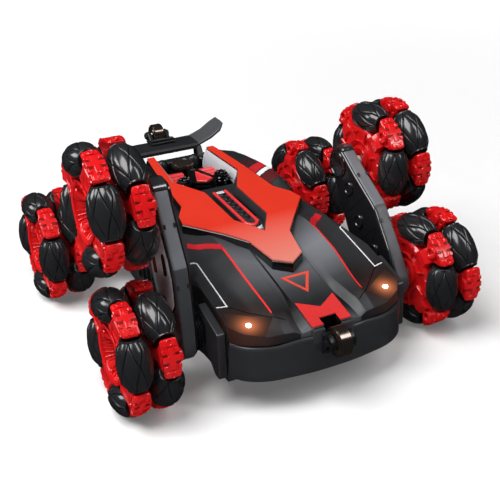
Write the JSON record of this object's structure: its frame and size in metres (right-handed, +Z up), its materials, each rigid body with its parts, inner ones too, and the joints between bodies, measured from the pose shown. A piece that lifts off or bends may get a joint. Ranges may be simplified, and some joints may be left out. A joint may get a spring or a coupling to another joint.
{
  "type": "rc stunt car",
  "caption": "Radio-controlled stunt car with barrel-roller omni wheels, two of them carried on geared swing arms that pivot about the front axle, and small anti-roll rollers at nose and tail.",
  "frame": {"origin": "on the ground, at the centre of the car's footprint box", "axes": "+Z up; -Y is the car's front and +X its left side; the front axle is at y -76.5 mm and the rear axle at y +74.5 mm"},
  "size_m": [0.2402, 0.281, 0.1524],
  "materials": {
    "hood_plastic": "satin dark grey moulding with printed stripes",
    "black_plastic": "black satin moulding",
    "red_panel": "orange-red painted panel",
    "wheel_red": "glossy red moulding",
    "roller_rubber": "semi-gloss black with crossed grooves",
    "arm_grey": "satin mid grey",
    "arm_smoke": "high-gloss smoke black",
    "bumper_plastic": "satin charcoal",
    "lamp_lens": "clear amber lens, lit",
    "steel": "plain turned",
    "gear_nylon": "natural nylon",
    "bump_roller": "polished brown-black",
    "battery_wrap": "blue heat-shrink wrap",
    "board": "green solder mask"
  },
  "bodies": {
    "chassis": {"hood_shell": "hood_plastic", "roof_base": "black_plastic", "roof_panel": "red_panel", "nose_panel": "red_panel", "light_strip": "red_panel", "engine_cover": "black_plastic", "fuel_cap": "black_plastic", "left_headlight": "lamp_lens", "right_headlight": "lamp_lens", "front_bumper": "bumper_plastic", "left_fin": "bumper_plastic", "right_fin": "bumper_plastic", "spoiler": "black_plastic", "front_roller_bracket": "black_plastic", "rear_roller_bracket": "black_plastic", "chassis_tray": "bumper_plastic", "battery_door": "black_plastic", "battery_pack": "battery_wrap", "circuit_board": "board", "left_arm_gearbox": "black_plastic", "right_arm_gearbox": "black_plastic", "left_rear_gearbox": "bumper_plastic", "right_rear_gearbox": "bumper_plastic"},
    "front_roller": {"front_roller": "bump_roller"},
    "rear_roller": {"rear_roller": "bump_roller"},
    "power_switch": {"power_switch": "black_plastic"},
    "left_arm": {"left_arm_outer_shell": "arm_grey", "left_arm_inner_shell": "arm_smoke"},
    "left_front_wheel": {"left_front_wheel_hub": "wheel_red", "left_front_wheel_outer_rollers": "roller_rubber", "left_front_wheel_inner_rollers": "roller_rubber", "left_lower_drive_gear": "gear_nylon"},
    "left_arm_wheel": {"left_arm_wheel_hub": "wheel_red", "left_arm_wheel_outer_rollers": "roller_rubber", "left_arm_wheel_inner_rollers": "roller_rubber", "left_upper_drive_gear": "gear_nylon"},
    "left_lower_idler": {"left_lower_idler_gear": "gear_nylon"},
    "left_middle_idler": {"left_middle_idler_gear": "gear_nylon"},
    "left_upper_idler": {"left_upper_idler_gear": "gear_nylon"},
    "left_rear_wheel": {"left_rear_wheel_hub": "wheel_red", "left_rear_wheel_outer_rollers": "roller_rubber", "left_rear_wheel_inner_rollers": "roller_rubber", "left_rear_axle": "steel"},
    "right_arm": {"right_arm_outer_shell": "arm_grey", "right_arm_inner_shell": "arm_smoke"},
    "right_front_wheel": {"right_front_wheel_hub": "wheel_red", "right_front_wheel_outer_rollers": "roller_rubber", "right_front_wheel_inner_rollers": "roller_rubber", "right_lower_drive_gear": "gear_nylon"},
    "right_arm_wheel": {"right_arm_wheel_hub": "wheel_red", "right_arm_wheel_outer_rollers": "roller_rubber", "right_arm_wheel_inner_rollers": "roller_rubber", "right_upper_drive_gear": "gear_nylon"},
    "right_lower_idler": {"right_lower_idler_gear": "gear_nylon"},
    "right_middle_idler": {"right_middle_idler_gear": "gear_nylon"},
    "right_upper_idler": {"right_upper_idler_gear": "gear_nylon"},
    "right_rear_wheel": {"right_rear_wheel_hub": "wheel_red", "right_rear_wheel_outer_rollers": "roller_rubber", "right_rear_wheel_inner_rollers": "roller_rubber", "right_rear_axle": "steel"}
  },
  "joints": [
    {"name": "left_arm_swing", "type": "hinge", "parent": "chassis", "child": "left_arm", "pos_m": [0, -0.0765, 0.0375], "axis": [1, 0, 0], "range_deg": [-27, 225]},
    {"name": "left_front_wheel_spin", "type": "hinge", "parent": "left_arm", "child": "left_front_wheel", "pos_m": [0, -0.0765, 0.0375], "axis": [1, 0, 0], "continuous": true},
    {"name": "left_lower_idler_spin", "type": "hinge", "parent": "left_arm", "child": "left_lower_idler", "pos_m": [0, -0.06439, 0.0513], "axis": [1, 0, 0], "continuous": true},
    {"name": "left_middle_idler_spin", "type": "hinge", "parent": "left_arm", "child": "left_middle_idler", "pos_m": [0, -0.0463, 0.06457], "axis": [1, 0, 0], "continuous": true},
    {"name": "left_upper_idler_spin", "type": "hinge", "parent": "left_arm", "child": "left_upper_idler", "pos_m": [0, -0.03303, 0.08267], "axis": [1, 0, 0], "continuous": true},
    {"name": "left_arm_wheel_spin", "type": "hinge", "parent": "left_arm", "child": "left_arm_wheel", "pos_m": [0, -0.01922, 0.09478], "axis": [1, 0, 0], "continuous": true},
    {"name": "left_rear_wheel_spin", "type": "hinge", "parent": "chassis", "child": "left_rear_wheel", "pos_m": [0, 0.0745, 0.0375], "axis": [1, 0, 0], "continuous": true},
    {"name": "right_arm_swing", "type": "hinge", "parent": "chassis", "child": "right_arm", "pos_m": [0, -0.0765, 0.0375], "axis": [1, 0, 0], "range_deg": [-55, 197]},
    {"name": "right_front_wheel_spin", "type": "hinge", "parent": "right_arm", "child": "right_front_wheel", "pos_m": [0, -0.0765, 0.0375], "axis": [1, 0, 0], "continuous": true},
    {"name": "right_lower_idler_spin", "type": "hinge", "parent": "right_arm", "child": "right_lower_idler", "pos_m": [0, -0.07229, 0.05537], "axis": [1, 0, 0], "continuous": true},
    {"name": "right_middle_idler_spin", "type": "hinge", "parent": "right_arm", "child": "right_middle_idler", "pos_m": [0, -0.06255, 0.07558], "axis": [1, 0, 0], "continuous": true},
    {"name": "right_upper_idler_spin", "type": "hinge", "parent": "right_arm", "child": "right_upper_idler", "pos_m": [0, -0.05932, 0.09779], "axis": [1, 0, 0], "continuous": true},
    {"name": "right_arm_wheel_spin", "type": "hinge", "parent": "right_arm", "child": "right_arm_wheel", "pos_m": [0, -0.05282, 0.11496], "axis": [1, 0, 0], "continuous": true},
    {"name": "right_rear_wheel_spin", "type": "hinge", "parent": "chassis", "child": "right_rear_wheel", "pos_m": [0, 0.0745, 0.0375], "axis": [1, 0, 0], "continuous": true},
    {"name": "front_roller_spin", "type": "hinge", "parent": "chassis", "child": "front_roller", "pos_m": [0, -0.1315, 0.042], "axis": [1, 0, 0], "continuous": true},
    {"name": "rear_roller_spin", "type": "hinge", "parent": "chassis", "child": "rear_roller", "pos_m": [0, 0.1327, 0.08], "axis": [1, 0, 0], "continuous": true},
    {"name": "power_switch_slide", "type": "slide", "parent": "chassis", "child": "power_switch", "axis": [0, 1, 0], "range_m": [0, 0.0045]}
  ],
  "couplings": [
    {"joint": "left_lower_idler_spin", "follows": "left_front_wheel_spin", "ratio": -0.8},
    {"joint": "left_middle_idler_spin", "follows": "left_front_wheel_spin", "ratio": 0.66667},
    {"joint": "left_upper_idler_spin", "follows": "left_front_wheel_spin", "ratio": -0.8},
    {"joint": "left_arm_wheel_spin", "follows": "left_front_wheel_spin", "ratio": 1},
    {"joint": "right_lower_idler_spin", "follows": "right_front_wheel_spin", "ratio": -0.8},
    {"joint": "right_middle_idler_spin", "follows": "right_front_wheel_spin", "ratio": 0.66667},
    {"joint": "right_upper_idler_spin", "follows": "right_front_wheel_spin", "ratio": -0.8},
    {"joint": "right_arm_wheel_spin", "follows": "right_front_wheel_spin", "ratio": 1}
  ]
}
